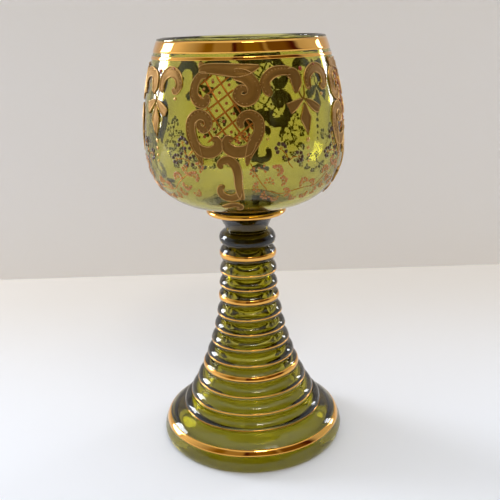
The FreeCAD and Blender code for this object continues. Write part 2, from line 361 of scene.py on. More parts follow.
def turned(section, columns):
    """Points and faces of a section that starts and ends on the axis, turned once round."""
    rings = section[1:-1]
    angles = np.arange(columns) * FULL_TURN / columns
    r, h = (np.array(values)[:, None] for values in zip(*rings))
    body = in_space(r + 0 * angles, h + 0 * angles, angles + 0 * r).reshape(-1, 3)
    poles = [in_space(np.array(0.0), np.array(section[i][1]), np.array(0.0)) for i in (0, -1)]
    faces = []
    for row in range(len(rings) - 1):
        for column in range(columns):
            after = (column + 1) % columns
            here, below = row * columns, (row + 1) * columns
            faces.append((here + column, here + after, below + after, below + column))
    first_pole, last_pole = len(body), len(body) + 1
    last_row = (len(rings) - 1) * columns
    for column in range(columns):
        after = (column + 1) % columns
        faces.append((first_pole, after, column))
        faces.append((last_pole, last_row + column, last_row + after))
    return np.vstack([body, poles]), faces

# %% [markdown]
# ## Olive green glass
# Glass for such a roemer is coloured through with iron and chrome, so the colour belongs in the
# volume, not on the surface: a thick foot then looks darker than a thin bowl without any paint.
# The surface itself is fire-polished and clear, with faint rings and waves left by the turning.

# %% The glass's material
GLASS_IOR = 1.5
GLASS_PER_METRE = 900.0
# The turning marks lie about 2.4 mm apart up the glass and run some 17 mm round it.
TURNING_MARKS = (60.0, 60.0, 420.0)


def make_green_glass():
    """Fire-polished glass, coloured through. Light of the volume's colour is what gets through."""
    material, tree = new_material("fire_polished_green_glass")
    where = add_node(tree, "ShaderNodeTexCoord")
    stretched = add_node(
        tree, "ShaderNodeMapping", {"Scale": TURNING_MARKS}, {"Vector": where.outputs["Object"]}
    )
    turning_marks = add_node(
        tree, "ShaderNodeTexNoise", {"Scale": 1.0, "Detail": 3.0}, {"Vector": stretched.outputs[0]}
    )
    surface = add_node(
        tree,
        "ShaderNodeBump",
        {"Strength": 0.10, "Distance": 0.0004},
        {"Height": turning_marks.outputs[0]},
    )
    shader = add_node(
        tree,
        "ShaderNodeBsdfPrincipled",
        {
            "Base Color": linear("#ffffff"),
            "Roughness": 0.0,
            "IOR": GLASS_IOR,
            "Transmission Weight": 1.0,
        },
        {"Normal": surface.outputs[0]},
    )
    depth = add_node(
        tree,
        "ShaderNodeVolumeAbsorption",
        {"Color": linear("#ece971"), "Density": GLASS_PER_METRE},
    )
    add_node(
        tree,
        "ShaderNodeOutputMaterial",
        links={"Surface": shader.outputs[0], "Volume": depth.outputs[0]},
    )
    return material


green_glass = make_green_glass()

# %% Turn the glass
GLASS_COLUMNS = 224
places, faces = turned(softened(glass_section, FIRE_REACH), GLASS_COLUMNS)
glass_body = make_piece("glass_body", places, faces, [green_glass])
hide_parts("bowl", "collar_disc", "foot_cone", *thread_names)
print("glass_body has", len(faces), "faces")

# %% [markdown]
# ## Fired gold
# Bright gold is painted on with a brush while the glass turns on a wheel, and fired. It is a
# mirror over the smooth glass, but its edges wander a little and the brush leaves fine rings.
# From inside the glass one sees the film's underside. It is painted a dull dark brown, which is painted
# shade for its unlit side.

# %% Gold and its underside
MIX_A, MIX_B, MIX_RESULT = 6, 7, 2  # the colour sockets of a Mix node


def make_fired_gold(name, colour, dark_colour, roughness, grain_mm, grain_strength):
    """Gold with fine unevenness: its colour and roughness change where the film is thinner."""
    material, tree = new_material(name)
    where = add_node(tree, "ShaderNodeTexCoord")
    patches = add_node(
        tree,
        "ShaderNodeTexNoise",
        {"Scale": 1 / (6 * MM), "Detail": 4.0},
        {"Vector": where.outputs["Object"]},
    )
    grain = add_node(
        tree,
        "ShaderNodeTexNoise",
        {"Scale": 1 / (grain_mm * MM), "Detail": 2.0},
        {"Vector": where.outputs["Object"]},
    )
    blend = add_node(
        tree,
        "ShaderNodeMix",
        {MIX_A: linear(dark_colour), MIX_B: linear(colour)},
        {"Factor": patches.outputs[0]},
        data_type="RGBA",
    )
    rough = add_node(
        tree,
        "ShaderNodeMapRange",
        {"From Min": 0.3, "From Max": 0.7, "To Min": roughness * 0.75, "To Max": roughness * 1.3},
        {"Value": patches.outputs[0]},
    )
    relief = add_node(
        tree,
        "ShaderNodeBump",
        {"Strength": grain_strength, "Distance": 0.0001},
        {"Height": grain.outputs[0]},
    )
    shader = add_node(
        tree,
        "ShaderNodeBsdfPrincipled",
        {"Metallic": 1.0},
        {
            "Base Color": blend.outputs[MIX_RESULT],
            "Roughness": rough.outputs[0],
            "Normal": relief.outputs[0],
        },
    )
    add_node(tree, "ShaderNodeOutputMaterial", links={"Surface": shader.outputs[0]})
    return material


def make_shaded_underside():
    """The back of gold and enamel, seen through the glass: dull, and painted nearly black as painted shade
    for the unlit side it turns inwards.
    """
    material, tree = new_material("underside_painted_shade")
    # Nearly black brown: painted shade on the inward side of the gold and enamel.
    shader = add_node(
        tree, "ShaderNodeBsdfPrincipled", {"Base Color": linear("#140c06"), "Roughness": 0.7}
    )
    add_node(tree, "ShaderNodeOutputMaterial", links={"Surface": shader.outputs[0]})
    return material


bright_gold = make_fired_gold("bright_fired_gold", "#f0b964", "#e2a248", 0.035, 0.5, 0.06)
underside = make_shaded_underside()

# %% Thin films that follow an arc of the section
FILM = 0.11
SUNK = 0.05
FILM_COLUMNS = 224
FILM_ROWS = 6


def wander(seed, amount):
    """A slow periodic change round the glass, as a function of the angle."""
    draw = random.Random(seed)
    waves = [(n, draw.uniform(-1, 1) / n**0.5, draw.uniform(0, FULL_TURN)) for n in (2, 3, 5, 8, 13, 21)]
    return lambda angle: amount * sum(size * np.sin(n * angle + phase) for n, size, phase in waves)


def film_ring(name, centre, bend, from_angle, to_angle, edge_waver, seed):
    """A closed band of gold on an arc of the section, between two angles of that arc."""
    angles = np.arange(FILM_COLUMNS) * FULL_TURN / FILM_COLUMNS
    start = from_angle + wander(seed, edge_waver)(angles) / bend
    end = to_angle + wander(seed + 1, edge_waver)(angles) / bend
    shares = np.linspace(0, 1, FILM_ROWS)
    proud = np.where((shares == 0) | (shares == 1), 0.35 * FILM, FILM)
    loop = [(share, lift) for share, lift in zip(shares, proud)]
    loop += [(share, -SUNK) for share in shares[::-1]]
    rings = []
    for share, lift in loop:
        along = start + (end - start) * share
        r = centre[0] + (bend + lift) * np.cos(along)
        h = centre[1] + (bend + lift) * np.sin(along)
        rings.append(in_space(r, h, angles))
    faces, kinds = [], []
    for row in range(len(loop)):
        below = (row + 1) % len(loop)
        for column in range(FILM_COLUMNS):
            after = (column + 1) % FILM_COLUMNS
            here, under = row * FILM_COLUMNS, below * FILM_COLUMNS
            faces.append((here + column, here + after, under + after, under + column))
            kinds.append(1 if row >= FILM_ROWS else 0)
    piece = make_piece(name, np.vstack(rings), faces, [bright_gold, underside], kinds)
    return piece


# %% Gold under the rim
RIM_BAND_HEIGHT = 4.6
RIM_LINE_GAP = 1.2
RIM_LINE_HEIGHT = 1.3
side_centre = bowl_radius - side_bend, widest_height


def side_angle(height):
    return math.asin((height - widest_height) / side_bend)


rim_line_top = lip_height - RIM_BAND_HEIGHT - RIM_LINE_GAP
for name, top, height, seed in (
    ("rim_band", lip_height, RIM_BAND_HEIGHT, 11),
    ("rim_line", rim_line_top, RIM_LINE_HEIGHT, 13),
):
    ends = side_angle(top), side_angle(top - height)
    gold = film_ring(f"{name}_gold", side_centre, side_bend, *ends, 0.09, seed)
    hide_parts(name)

print("gold under the rim", RIM_BAND_HEIGHT, "and", RIM_LINE_HEIGHT, "mm tall")

# %% Gold on the threads and the collar
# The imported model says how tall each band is. The broad ones waver a little more.
BROAD_WAVER, FINE_WAVER, COLLAR_WAVER = 0.10, 0.06, 0.05
for number in BROADLY_GILT + FINELY_GILT:
    top, bottom, bend = grooves[number - 1], grooves[number], thread_bends[number - 1]
    centre = arc_centre(top, bottom, bend, RIGHT)
    low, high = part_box(f"gilding_{number:02d}")
    ends = [math.asin((height / MM - centre[1]) / bend) for height in (high.z, low.z)]
    waver = BROAD_WAVER if number in BROADLY_GILT else FINE_WAVER
    gold = film_ring(f"thread_gold_{number:02d}", centre, bend, *ends, waver, 20 + 2 * number)
    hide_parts(f"gilding_{number:02d}")
edge_centre = collar_radius - edge_bend, collar_top - edge_bend
gold = film_ring("collar_gold", edge_centre, edge_bend, math.pi / 2, -math.pi / 2, COLLAR_WAVER, 61)
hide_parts("collar_gilding")
print("gold on the rim, the collar and threads", sorted(BROADLY_GILT + FINELY_GILT))

# %% [markdown]
# ## A map of the bowl
# The ornament is drawn flat and then wrapped on the bowl. Across, a place is a length in
# millimetres round the widest circle. Up, it is a length along the bowl's side, from the widest
# circle: above zero towards the rim, below zero towards the foot. Lift is the height of the paint
# above the glass.

# %% Wrap the flat drawing on the glass
cheek_end = math.atan2(widest_height - low_meet[1], low_meet[0] - cheek_centre)


def on_bowl(across, up, lift):
    """Points in space of flat places, with the paint's lift. All three are arrays."""
    side = up / side_bend
    cheek = np.clip(-up, 0, cheek_end * cheek_bend) / cheek_bend
    under = np.clip(-up - cheek_end * cheek_bend, 0, None) / low_bend
    above = up > 0
    slope = np.where(above, side, -cheek)
    r = np.where(
        above,
        bowl_radius - side_bend + (side_bend + lift) * np.cos(side),
        cheek_centre + (cheek_bend + lift) * np.cos(cheek) - low_bend * np.sin(under) * np.sin(slope * -1),
    )
    h = np.where(
        above,
        widest_height + (side_bend + lift) * np.sin(side),
        widest_height - (cheek_bend + lift) * np.sin(cheek) - low_bend * np.sin(under) * np.cos(slope),
    )
    return in_space(r, h, across / bowl_radius)


# %% [markdown]
# ## Brush strokes in relief
# Raised gold is a thick paste laid with a fine brush over which the gold is fired. Every scroll is
# one stroke: it swells, curls and ends in a drop. So a stroke here is a smooth line through a few
# chosen points, each with the half-width of the brush there. Its section is a low dome with a
# ridge near each edge, where the paste gathers.

# %% One stroke of paste
SINK = 0.12
EDGE_LINE = [(1.0, 0.0), (0.95, 0.7), (0.88, 1.0), (0.8, 0.6), (0.7, 0.5), (0.45, 0.62), (0.2, 0.8)]
PASTE_SECTION = [(-t, lift) for t, lift in EDGE_LINE] + [(0.0, 0.86)] + EDGE_LINE[::-1]
FLAT_SECTION = [(-1.0, 0.0), (-0.8, 0.7), (0.0, 1.0), (0.8, 0.7), (1.0, 0.0)]


def smooth_line(points, spacing):
    """Samples of a smooth curve through points of any number of values each."""
    points = np.array(points, float)
    ends = 2 * points[0] - points[1], 2 * points[-1] - points[-2]
    p = np.vstack([ends[0], points, ends[1]])
    samples = []
    for i in range(1, len(p) - 2):
        count = max(2, math.ceil(math.dist(p[i][:2], p[i + 1][:2]) / spacing))
        for t in np.arange(count) / count:
            samples.append(
                0.5
                * (
                    2 * p[i]
                    + (p[i + 1] - p[i - 1]) * t
                    + (2 * p[i - 1] - 5 * p[i] + 4 * p[i + 1] - p[i + 2]) * t**2
                    + (3 * p[i] - p[i - 1] - 3 * p[i + 1] + p[i + 2]) * t**3
                )
            )
    return np.array(samples + [points[-1]])


class Painting:
    """Collects strokes of one kind of paint and makes one mesh of them, four times round."""

    def __init__(self):
        self.places, self.faces, self.kinds = [], [], []

    def add_grid(self, across, up, lift):
        """A closed skin over a grid: rows along a stroke, columns across it, the last one below."""
        first = sum(len(p) for p in self.places)
        rows, columns = across.shape
        self.places.append(np.stack([across, up, lift], axis=-1).reshape(-1, 3))
        for row in range(rows - 1):
            for column in range(columns):
                after = (column + 1) % columns
                here, below = first + row * columns, first + (row + 1) * columns
                self.faces.append((here + column, here + after, below + after, below + column))
                self.kinds.append(int(column >= columns - 2))
        for row in (0, rows - 1):
            self.faces.append(tuple(first + row * columns + column for column in range(columns)))
            self.kinds.append(1)

    def stroke(
        self, points, height, section=PASTE_SECTION, spacing=0.45, round_ends=True, full_at=0.9
    ):
        """One stroke. From a half-width of full_at on, the paste is as high as it gets."""
        line = smooth_line(points, spacing)
        centre, width = line[:, :2], np.maximum(line[:, 2], 0.05)
        along = np.gradient(centre, axis=0)
        along /= np.maximum(np.linalg.norm(along, axis=1, keepdims=True), 1e-9)
        beside = np.column_stack([-along[:, 1], along[:, 0]])
        run = np.concatenate([[0], np.cumsum(np.linalg.norm(np.diff(centre, axis=0), axis=1))])
        full = np.ones(len(run))
        if round_ends:
            for gone, w in ((run, width[0]), (run[-1] - run, width[-1])):
                near = np.clip(1 - gone / max(w, 0.05), 0, 1)
                full = np.minimum(full, np.sqrt(np.maximum(1 - near**2, 0.03)))
        t = np.array([place for place, _ in section] + [0.0])
        lift = np.array([share for _, share in section] + [0.0])
        reach = (width * full)[:, None] * t[None, :]
        across = centre[:, 0:1] + beside[:, 0:1] * reach
        up = centre[:, 1:2] + beside[:, 1:2] * reach
        thick = height * np.minimum(1, width / full_at)[:, None] * full[:, None] * lift[None, :]
        thick[:, [0, -2, -1]] = -SINK
        self.add_grid(across, up, thick)
        return centre, beside, width * full

    def drop(self, x, y, radius, height):
        """A round drop of paste."""
        sides = 10
        levels = ((1.0, -SINK), (0.97, 0.3 * height), (0.7, 0.8 * height), (0.35, height))
        first = sum(len(p) for p in self.places)
        angles = np.arange(sides) * FULL_TURN / sides
        for share, lift in levels:
            ring = [x + radius * share * np.cos(angles), y + radius * share * np.sin(angles)]
            self.places.append(np.column_stack(ring + [np.full(sides, lift)]))
        for level in range(len(levels) - 1):
            for side in range(sides):
                after = (side + 1) % sides
                here, above = first + level * sides, first + (level + 1) * sides
                self.faces.append((here + side, here + after, above + after, above + side))
                self.kinds.append(0)
        self.faces.append(tuple(first + side for side in range(sides)))
        self.faces.append(tuple(first + 3 * sides + side for side in range(sides)))
        self.kinds += [1, 0]

    def paint(self, name, material, slot):
        """Wraps the strokes on the bowl, four times round, as one piece."""
        flat = np.vstack(self.places)
        turns = [on_bowl(flat[:, 0] + offset, flat[:, 1], flat[:, 2]) for offset in REPEATS]
        faces, kinds = [], []
        for turn in range(len(REPEATS)):
            faces += [tuple(v + turn * len(flat) for v in face) for face in self.faces]
            kinds += self.kinds
        piece = make_piece(name, np.vstack(turns), faces, [material, underside], kinds)
        print(name, "has", len(faces), "faces")
        return piece


# %% [markdown]
# ## The scrolls
# The ornament is a rococo frame of C- and S-scrolls with a trellis in it, and a hanging leaf between one
# frame and the next. It goes four times round the bowl. All sizes are millimetres on the flat map, measured
# from the frame's middle. A fine raised line runs along each edge of the matt scrolls, and there are rows
# of tiny beads. Real ones are about 0.2 mm wide, and here they are 0.4 mm, or they wouldn't show. The lines
# and beads are raised and shinier than the scrolls. They are also painted a lighter gold, and that lighter
# colour is a painted highlight for the light their raised edges catch.

# %% Four repeats
REPEATS = (-9.0, 56.0, 121.6, 191.3)
PASTE_HEIGHT = RELIEF_HEIGHT

# %% A scroll with its fine raised outline and a row of beads
LINE_PLACE, LINE_HALF_WIDTH, LINE_PROUD = 0.88, 0.2, 0.14
BEAD_RADIUS, BEAD_PROUD, BEAD_EVERY, BEADED_FROM = 0.26, 0.12, 3, 1.2
scrolls = Painting()
outlines = Painting()
pearls = Painting()


def scroll(points, beads=None, shift=0.0, round_ends=True):
    """One scroll. The outline runs just inside its edges. Beads sit at a share of its width."""
    places = [(x + shift, y, w) for x, y, w in points]
    centre, beside, width = scrolls.stroke(places, PASTE_HEIGHT, round_ends=round_ends)
    for side in (-1, 1):
        edge = centre + beside * (side * LINE_PLACE * width)[:, None]
        kept = [(x, y, LINE_HALF_WIDTH) for (x, y), w in zip(edge[::2], width[::2]) if w > 0.5]
        if len(kept) > 3:
            proud = PASTE_HEIGHT + LINE_PROUD
            outlines.stroke(kept, proud, FLAT_SECTION, 0.6, False, full_at=LINE_HALF_WIDTH)
    if beads is not None:
        for place in range(BEAD_EVERY, len(centre) - BEAD_EVERY, BEAD_EVERY):
            if width[place] > BEADED_FROM:
                x, y = centre[place] + beside[place] * beads * width[place]
                pearls.drop(x, y, BEAD_RADIUS, PASTE_HEIGHT + BEAD_PROUD)


# %% The frame's upper scrolls: across, up and half-width of the brush
crest = [(-9.6, 34.2, 1.2), (-7.4, 35.0, 1.7), (-3, 35.0, 2.1), (2, 34.6, 2.4), (7, 34.2, 2.6)]
crest += [(12, 34.6, 1.9), (16.4, 35.6, 0.4)]
right_curl = [(4.6, 33.2, 2.2), (10.2, 31.9, 2.7), (13.4, 28.4, 2.8), (12.6, 24.8, 2.7)]
right_curl += [(9.4, 23.4, 2.5), (6.8, 25.2, 2.0), (7.6, 27.6, 1.6), (9.8, 27.6, 1.2), (10, 26.2, 0.9)]
left_curl = [(-5, 32.8, 1.0), (-8.6, 32.4, 1.6), (-10.6, 29.6, 1.9), (-10.8, 26, 2.0)]
left_curl += [(-9.2, 23.4, 2.2), (-6.4, 22.8, 2.2), (-5.3, 24.6, 1.5), (-6.4, 25.6, 0.9)]
scroll(crest)
scroll(right_curl, beads=0.45)
scroll(left_curl, beads=-0.45)
scrolls.drop(-8.6, 36.2, 1.5, PASTE_HEIGHT)

# %% The frame's lower scrolls
left_volute = [(-7.4, -0.4, 0.4), (-8.6, 3, 1.3), (-10.6, 7.6, 2.2), (-12, 12, 2.3), (-11.6, 16.2, 2.2)]
left_volute += [(-8.6, 18.4, 2.1), (-5.4, 17.4, 1.9), (-4.6, 14.6, 1.7), (-6.6, 12.8, 1.4)]
left_volute += [(-8.5, 14.2, 1.2), (-7.9, 15.9, 1.0), (-6.7, 15.4, 0.8)]
left_bottom = [(-11, 9.5, 1.2), (-8.6, 5.6, 2.2), (-4.4, 4.6, 2.4), (-1.2, 6.4, 2.2), (-1.4, 9.2, 1.6)]
left_bottom += [(-3.6, 9.4, 1.0)]
right_volute = [(9.8, -0.8, 0.4), (10.4, 3, 1.3), (12.4, 7.6, 2.3), (14.6, 11.6, 2.3)]
right_volute += [(14.6, 15.8, 2.2), (11.8, 18.2, 1.9), (8.8, 17.6, 1.7), (7.6, 15.2, 1.5), (8.8, 13.4, 1.0)]
right_bottom = [(13, 9.5, 1.2), (10.2, 5.6, 2.2), (5.6, 4.8, 2.4), (2.4, 6.8, 2.2), (2.7, 9.6, 1.6)]
right_bottom += [(5, 9.2, 1.0)]
print("the frame is", right_curl[2][0] - left_curl[2][0], "mm wide at its upper scrolls")
scroll(left_volute, beads=0.5)
scroll(left_bottom)
scroll(right_volute, beads=-0.5)
scroll(right_bottom)

# %% The tail that hangs below the frame
tail = [(0.6, -1.4, 0.9), (-0.6, -0.2, 1.2), (0.4, 1.3, 1.5), (3, 1.8, 1.8), (5.4, -0.6, 1.9)]
tail += [(6.2, -4.2, 1.8), (6.3, -8.4, 1.7), (6.9, -12.4, 1.5), (7.6, -15.6, 0.8)]
tail_curl = [(6.8, -10.4, 1.0), (5.2, -13.4, 1.8), (1.8, -14.2, 1.9), (-1, -12.2, 1.7)]
tail_curl += [(-1, -9.4, 1.3), (0.8, -8.8, 0.8)]
foot_curl = [(-3, -20.2, 0.8), (0.2, -19.2, 1.4), (3.6, -18.2, 1.6), (6.4, -19.4, 1.4), (6, -21.6, 1.1)]
foot_curl += [(3.8, -21.2, 0.7)]
for points in (tail, tail_curl, foot_curl):
    scroll(points)

# %% The hanging leaf between two frames
LEAF_PLACE = 34.5
arch = [(-13.6, 25.6, 1.3), (-15.6, 26.6, 1.9), (-16.4, 30, 2.2), (-13.4, 32.8, 2.2), (-8.6, 33.6, 1.9)]
arch += [(-4.6, 33, 1.7)]
arch_leaf = [(-7.4, 32.8, 1.4), (-4, 32, 2.6), (-2.9, 29.4, 2.8), (-3.3, 26.6, 1.6), (-3.6, 25, 0.3)]
side_curl = [(3.8, 26, 1.2), (2.9, 28.6, 1.7), (3.8, 31.8, 2.0), (7.8, 33.9, 2.1), (12, 32.6, 2.1)]
side_curl += [(13.6, 29.2, 1.9), (11.8, 26.6, 1.3), (10, 28, 0.7)]
left_stem = [(-0.2, 22.6, 0.35), (-1.6, 24.8, 0.3), (-2.6, 27.4, 0.25)]
right_stem = [(0, 22.6, 0.35), (0.6, 25.2, 0.3), (0.7, 28, 0.25)]
scroll(arch, beads=0.4, shift=LEAF_PLACE)
scroll(arch_leaf, shift=LEAF_PLACE)
scroll(side_curl, beads=0.4, shift=LEAF_PLACE)
for points in (left_stem, right_stem):
    scroll(points, shift=LEAF_PLACE)
left_wing = [(-0.3, 22.9, 0.3), (-2.6, 21.8, 1.2), (-5, 20.5, 2.0), (-7.4, 19.4, 2.5)]
right_wing = [(0.3, 22.9, 0.3), (2.8, 21.2, 1.4), (5.4, 19.4, 1.9), (7.6, 18.1, 1.6)]
lozenge = [(0, 21.4, 0.3), (0.1, 19.4, 1.15), (0.2, 17.4, 2.0), (0.25, 15.5, 2.8), (0.5, 13.2, 1.8)]
lozenge += [(0.8, 10.9, 0.9), (1, 8.9, 0.2)]
for points in (left_wing, right_wing, lozenge):
    scroll(points, shift=LEAF_PLACE, round_ends=False)

# %% The trellis and its dots
TRELLIS_PITCH = 4.78
TRELLIS_TURN = math.radians(35.5)
TRELLIS_CENTRE = (2.0, 19.3)
trellis_bounds = [(-9, 31), (-5, 33.5), (4, 33), (6, 27), (9, 22), (12.5, 18), (13, 11), (10, 8), (4, 8)]
trellis_bounds += [(0, 8), (-6, 8), (-9, 12), (-8, 17), (-9, 24)]


def inside(x, y, corners):
    """Whether a flat place lies inside an outline."""
    crossings = 0
    for (x1, y1), (x2, y2) in zip(corners, corners[1:] + corners[:1]):
        if (y1 > y) != (y2 > y) and x < x1 + (y - y1) * (x2 - x1) / (y2 - y1):
            crossings += 1
    return crossings % 2 == 1


def on_trellis(i, j):
    """A flat place at a number of steps along the two directions of the bars."""
    a, b = i * TRELLIS_PITCH, j * TRELLIS_PITCH
    turn = TRELLIS_TURN
    return (
        TRELLIS_CENTRE[0] + a * math.cos(turn) - b * math.sin(turn),
        TRELLIS_CENTRE[1] + a * math.sin(turn) + b * math.cos(turn),
    )


trellis = Painting()
dots = Painting()
TRELLIS_REACH = 5
TRELLIS_BAR = 0.40
for line in range(-TRELLIS_REACH, TRELLIS_REACH + 1):
    for across_first in (True, False):
        run = []
        for step in np.arange(-TRELLIS_REACH, TRELLIS_REACH + 0.01, 0.1):
            x, y = on_trellis(step, line) if across_first else on_trellis(line, step)
            if inside(x, y, trellis_bounds):
                run.append((x, y, TRELLIS_BAR))
        if len(run) > 12:
            trellis.stroke(run[::8] + [run[-1]], 0.26, FLAT_SECTION, 1.2)
for i in range(-TRELLIS_REACH, TRELLIS_REACH):
    for j in range(-TRELLIS_REACH, TRELLIS_REACH):
        x, y = on_trellis(i + 0.5, j + 0.5)
        if inside(x, y, trellis_bounds):
            dots.drop(x, y, 0.62, 0.22)
        if inside(*on_trellis(i, j), trellis_bounds):
            trellis.drop(*on_trellis(i, j), 0.5, 0.34)

# %% Pearls, and rings below the leaf
frame_pearls = [(-20.2, 24, 0.75), (18, 9, 0.5), (-6.6, 28, 0.5), (-3.2, 31.2, 0.5)]
frame_pearls += [(-3.6, 20.6, 0.45)]
for x, y, radius in frame_pearls:
    pearls.drop(x, y, radius, PASTE_HEIGHT)
red_drops = Painting()
red_drops.drop(LEAF_PLACE + 0.1, 33.9, 0.95, 0.5)
red_drops.drop(-22.6, 35, 0.6, 0.4)
for y, radius in ((7.4, 0.95), (4.4, 0.8), (1.6, 0.65), (-0.8, 0.5)):
    pearls.drop(LEAF_PLACE + 0.9, y, radius, 0.3)

# %% [markdown]
# ## Flower sprays
# Round the lower bowl runs a garland of little flowers in coral enamel with gold stems. Enamel is
# ground glass painted on and fired, so it is glossy and stands up a little. Every flower is a fan
# of petals round the end of a twig, as the brush sets them down one by one.

# %% Petals and fans
petals = Painting()
leaves = Painting()
stems = Painting()
draw = random.Random(7)


def petal(painting, x, y, heading, length, width):
    dx, dy = math.cos(heading) * length, math.sin(heading) * length
    points = [
        (x, y, width * 0.3),
        (x + dx * 0.35, y + dy * 0.35, width * 0.8),
        (x + dx * 0.7, y + dy * 0.7, width),
        (x + dx, y + dy, width * 0.5),
    ]
    painting.stroke(points, 0.3, FLAT_SECTION, 0.6)


def fan(painting, x, y, degrees, count, size, opening=200, plump=0.27):
    """Petals that spread from one point, with a fine gold line to each."""
    for number in range(count):
        share = number / max(1, count - 1) - 0.5
        heading = math.radians(degrees + share * opening + draw.uniform(-6, 6))
        inner = size * draw.uniform(0.4, 0.5)
        length = size * draw.uniform(0.6, 0.8)
        start = x + inner * math.cos(heading), y + inner * math.sin(heading)
        petal(painting, *start, heading, length, size * plump)
        stems.stroke([(x, y, 0.16), (*start, 0.12)], 0.2, FLAT_SECTION, 0.6)
    if count > 4:
        pearls.drop(x, y, 0.34, 0.3)


# %% The garland: across, up, heading in degrees, petals and size of each flower
stems.stroke([(11, 0.6, 0.2), (12.4, -2.6, 0.2), (14.6, -7, 0.2), (18, -11.4, 0.2)], 0.2, FLAT_SECTION, 0.8)
stems.stroke([(18, -11.4, 0.2), (24, -13.6, 0.2), (31, -12.6, 0.2), (36, -12, 0.2)], 0.2, FLAT_SECTION, 0.8)
stems.stroke([(36, -12, 0.2), (42, -12, 0.2), (47, -8, 0.2), (54, -3, 0.2)], 0.2, FLAT_SECTION, 0.8)
near_frame = [(12.6, -3.4, 200, 5, 2.0), (15.6, -2.2, 60, 3, 1.7), (21.6, -3.2, 30, 8, 2.4)]
near_frame += [(13.8, -9.6, 190, 6, 2.1), (18.4, -8, 80, 5, 2.0), (24, -7.8, 20, 7, 2.0)]
near_frame += [(17.4, -13.6, 220, 6, 2.1), (21.6, -15.6, 270, 6, 2.0), (26.4, -13.2, 20, 7, 2.2)]
below_leaf = [(31, -16.4, 240, 6, 2.0), (34.6, -9.8, 120, 7, 2.2), (39, -10.8, 40, 7, 2.0)]
below_leaf += [(37, -16, 290, 7, 2.2), (42.4, -15, 340, 6, 2.0), (46.6, -6.2, 100, 7, 2.2)]
next_frame = [(50.4, -9.4, 250, 7, 2.1), (54.6, -5.4, 60, 7, 2.2), (51.6, -2.6, 180, 6, 2.0)]
next_frame += [(57.4, -1.4, 30, 6, 2.0), (47.4, -12.6, 230, 6, 2.0), (54.4, -12.4, 300, 6, 2.0)]
for place in near_frame + below_leaf + next_frame:
    fan(petals, *place)

# %% Sprays above it, their leaves painted dark for the shade they lie in: a twig and its leaves
twigs = (
    [(51.6, -2.6), (53.2, 0.6), (51.6, 4), (50.4, 7.6)],
    [(53.2, 0.6), (50.4, 1.6), (47.6, 1.2)],
    [(52.4, 2.4), (54.4, 4.4), (56.4, 7)],
    [(28.4, -3), (26.4, -0.6), (25.6, 2.4), (23.4, 5)],
    [(26.2, 0), (28.4, 1.6), (30.4, 1.4)],
)
for twig in twigs:
    stems.stroke([(x, y, 0.2) for x, y in twig], 0.2, FLAT_SECTION, 0.8)
dark_leaves = [(50.4, 7.8, 100, 5, 2.4), (47.2, 1.2, 170, 5, 2.2), (56.6, 7.2, 60, 4, 2.2)]
dark_leaves += [(51.4, 4, 190, 3, 2.1), (54.6, 4.4, 20, 3, 2.0), (53.2, 0.4, 330, 3, 2.0)]
dark_leaves += [(23.2, 5.2, 120, 5, 2.3), (30.8, 1.4, 0, 5, 2.2), (25.6, 2.4, 200, 3, 2.0)]
for place in dark_leaves:
    fan(leaves, *place, plump=0.36)

print(len(twigs), "twigs with", len(dark_leaves), "tufts of dark leaves")

# %% A little palmette in the frame
fan(stems, 8.2, 9.6, 90, 7, 2.4, 220)

# %% The paints
raised_gold = make_fired_gold("raised_matt_gold", "#98743e", "#7e5c2a", 0.6, 0.35, 0.6)
# Lighter than the scrolls: the colour is a painted highlight on the raised lines and beads, which are also
# raised and shinier.
outline_gold_painted_highlight = make_fired_gold("outline_gold_painted_highlight", "#d4ac70", "#b48c50", 0.3, 0.35, 0.3)
trellis_gold = make_fired_gold("copper_toned_gold", "#b57636", "#965a26", 0.32, 0.3, 0.4)


def make_enamel(name, colour, dark_colour):
    """Fired enamel: glossy, opaque, a little darker where it lies thin."""
    material, tree = new_material(name)
    where = add_node(tree, "ShaderNodeTexCoord")
    cloud = add_node(
        tree,
        "ShaderNodeTexNoise",
        {"Scale": 1 / (1.2 * MM), "Detail": 3.0},
        {"Vector": where.outputs["Object"]},
    )
    tint = add_node(
        tree,
        "ShaderNodeMix",
        {MIX_A: linear(dark_colour), MIX_B: linear(colour)},
        {"Factor": cloud.outputs[0]},
        data_type="RGBA",
    )
    shader = add_node(
        tree,
        "ShaderNodeBsdfPrincipled",
        {"Roughness": 0.28},
        {"Base Color": tint.outputs[MIX_RESULT]},
    )
    add_node(tree, "ShaderNodeOutputMaterial", links={"Surface": shader.outputs[0]})
    return material


coral_enamel = make_enamel("coral_enamel", "#c8884c", "#a0602c")
# The dark maroon of the leaves is painted shade, for the shade these sprays lie in.
maroon_enamel_painted_shade = make_enamel("maroon_enamel_painted_shade", "#4a1c14", "#2a0e0a")
red_enamel = make_enamel("red_enamel", "#a83a24", "#7c2414")
rust_enamel = make_enamel("rust_enamel", "#9c4a24", "#6a2c14")

# %% Put the paint on the bowl
scrolls.paint("raised_scrolls", raised_gold, "fired_gold")
outlines.paint("scroll_outlines", outline_gold_painted_highlight, "fired_gold")
trellis.paint("trellis", trellis_gold, "fired_gold")
dots.paint("trellis_dots", rust_enamel, "fired_gold")
red_drops.paint("red_drops", red_enamel, "fired_gold")
pearls.paint("pearls", outline_gold_painted_highlight, "fired_gold")
petals.paint("petals", coral_enamel, "fired_gold")
leaves.paint("leaves", maroon_enamel_painted_shade, "fired_gold")
stems.paint("stems", trellis_gold, "fired_gold")

# %% [markdown]
# ## Floor, wall and light
# A glass shows its surroundings more than itself. A pale table and a pale wall close behind give
# it its brightness. Far windows left and right, a little behind the glass, draw the streaks on the
# bowl and one spark on every thread. A small lamp and a larger, softer one up behind the camera
# draw the sparks in the middle. The room behind the camera is dim and warm, with upright stripes
# of brown, tan and dark red. They show in the gold under the rim and give it its depth.

# %% Table and wall
WALL_DISTANCE = 223 * MM


